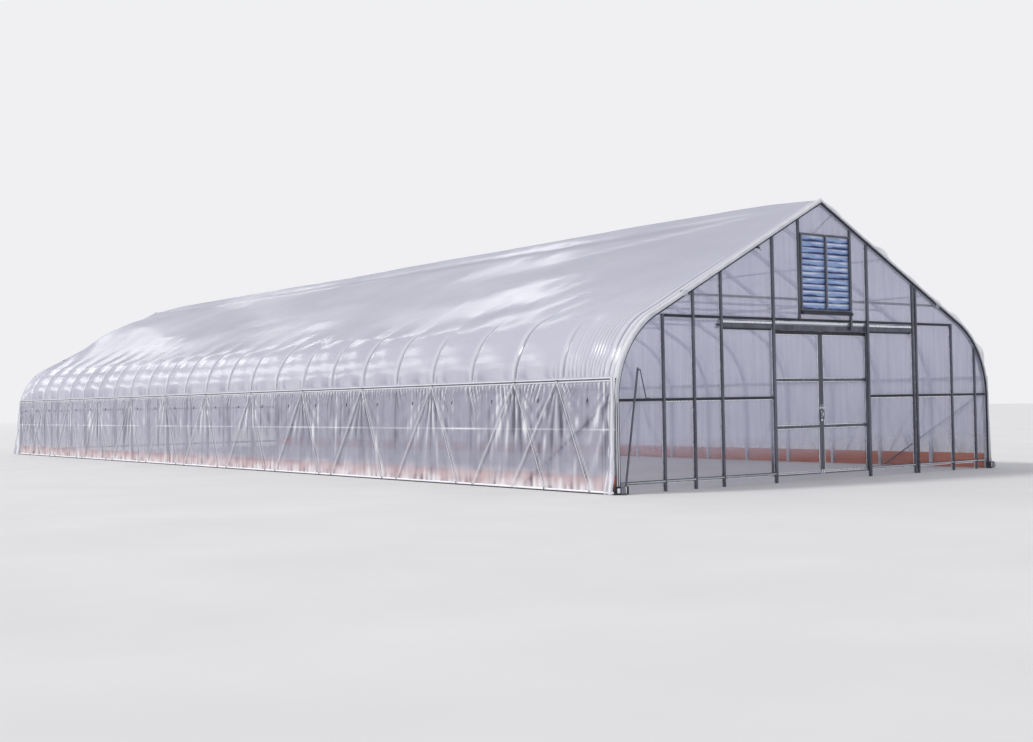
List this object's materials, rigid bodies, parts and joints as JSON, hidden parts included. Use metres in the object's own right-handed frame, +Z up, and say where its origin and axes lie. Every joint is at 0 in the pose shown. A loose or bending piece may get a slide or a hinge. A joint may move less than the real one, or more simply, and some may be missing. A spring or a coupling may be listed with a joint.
{
  "type": "polytunnel greenhouse",
  "caption": "Gothic-arch greenhouse under a swollen film roof, with roll-up film sides, a clear gable, paired sliding doors and a louvred shutter.",
  "frame": {"origin": "on the ground under the middle of the house", "axes": "+X across the house to the right of somebody who faces the doors, +Y along the house from the gable with the doors to the back gable, +Z up"},
  "size_m": [9.4432, 29.5468, 4.7373],
  "materials": {
    "galvanised_steel": "satin",
    "timber": "matte",
    "white_metal": "satin",
    "aluminium": "satin",
    "roof_film": "gloss",
    "side_film": "gloss",
    "cord": "matte",
    "dark_steel": "satin",
    "twin_wall_sheet": "gloss",
    "dark_plastic": "matte"
  },
  "bodies": {
    "house": {"bow_legs": "galvanised_steel", "bow_lower_bends": "galvanised_steel", "bow_middle_bends": "galvanised_steel", "bow_upper_bends": "galvanised_steel", "left_rafters": "galvanised_steel", "right_rafters": "galvanised_steel", "collar_ties": "galvanised_steel", "roof_purlins": "galvanised_steel", "baseboards": "timber", "side_girts": "white_metal", "hip_rails": "aluminium", "braces": "galvanised_steel", "roof_film": "roof_film", "left_curtain": "side_film", "right_curtain": "side_film", "roll_tubes": "galvanised_steel", "cord_hooks": "galvanised_steel", "cord_pegs": "galvanised_steel", "left_cords": "cord", "right_cords": "cord", "front_posts": "dark_steel", "front_rails": "dark_steel", "front_left_panel": "twin_wall_sheet", "front_right_panel": "twin_wall_sheet", "front_top_panel": "twin_wall_sheet", "back_posts": "dark_steel", "back_rails": "dark_steel", "back_panel": "twin_wall_sheet", "shutter_frame": "aluminium", "shutter_blades": "aluminium", "blade_tie_bar": "aluminium", "shutter_sill": "dark_steel", "track_web": "galvanised_steel", "track_sides": "galvanised_steel", "track_lips": "galvanised_steel", "track_cover": "white_metal", "roll_up_gears": "dark_plastic", "crank_pole": "galvanised_steel"},
    "left_door": {"left_door_frame": "dark_steel", "left_door_panes": "twin_wall_sheet", "left_door_trolleys": "galvanised_steel", "left_door_handle": "galvanised_steel"},
    "right_door": {"right_door_frame": "dark_steel", "right_door_panes": "twin_wall_sheet", "right_door_trolleys": "galvanised_steel", "right_door_handle": "galvanised_steel"}
  },
  "joints": [
    {"name": "left_door_slide", "type": "slide", "parent": "house", "child": "left_door", "axis": [-1, 0, 0], "range_m": [0, 1.08]},
    {"name": "right_door_slide", "type": "slide", "parent": "house", "child": "right_door", "axis": [1, 0, 0], "range_m": [0, 1.08]}
  ]
}
